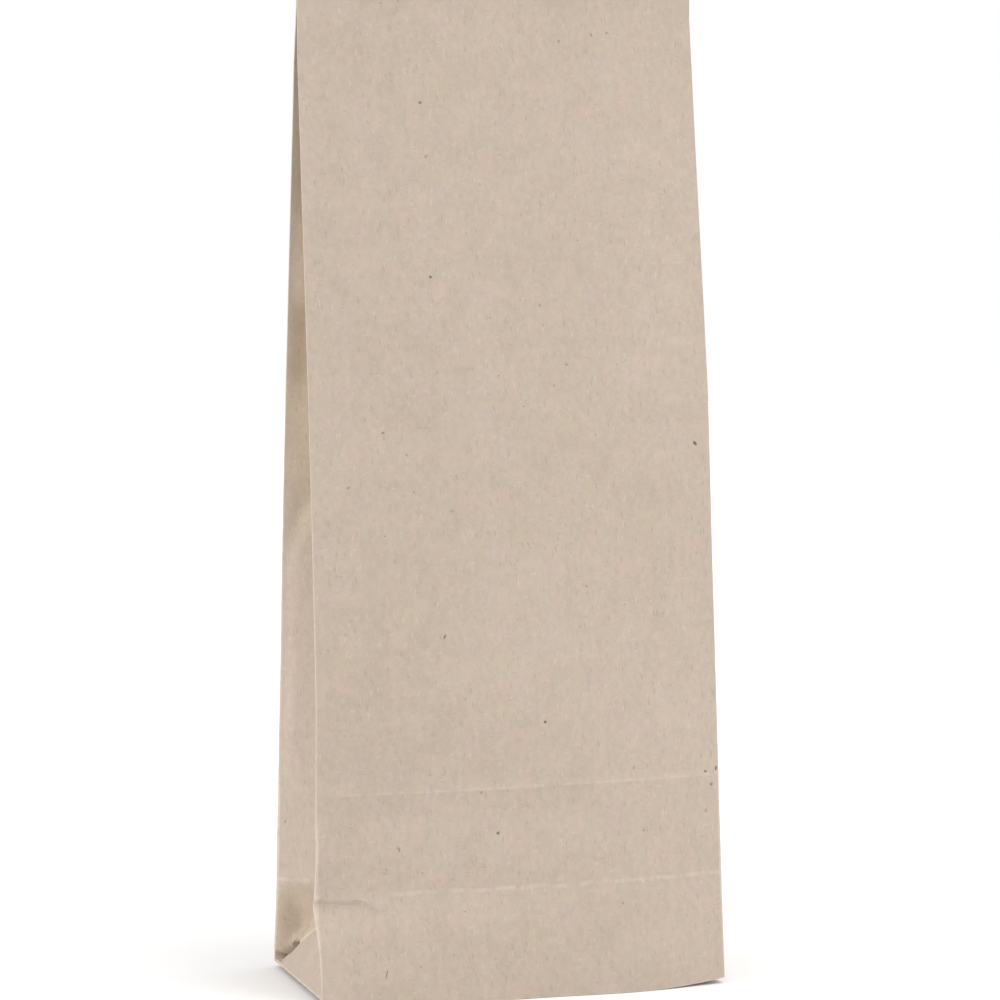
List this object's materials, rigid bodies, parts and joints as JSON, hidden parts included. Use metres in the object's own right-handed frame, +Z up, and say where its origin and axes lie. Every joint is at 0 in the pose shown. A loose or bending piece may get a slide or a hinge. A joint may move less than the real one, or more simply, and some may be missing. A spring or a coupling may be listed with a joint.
{
  "type": "paper gift bag",
  "caption": "Tall block-bottom gift bag of plain recycled kraft paper, standing on its rectangular foot, with inward side gussets, pressed shut at the top.",
  "frame": {"origin": "on the ground, under the middle of the bag's rectangular foot", "axes": "+Z up from the foot to the mouth, -Y out of the front panel, +X towards the bag's right side as seen from the front"},
  "size_m": [0.1, 0.0629, 0.28],
  "materials": {
    "kraft_paper": "uncoated recycled kraft paper, matt, grey-beige, with fine fibres and dark specks"
  },
  "bodies": {
    "root": {"paper_bag": "kraft_paper"}
  },
  "joints": []
}
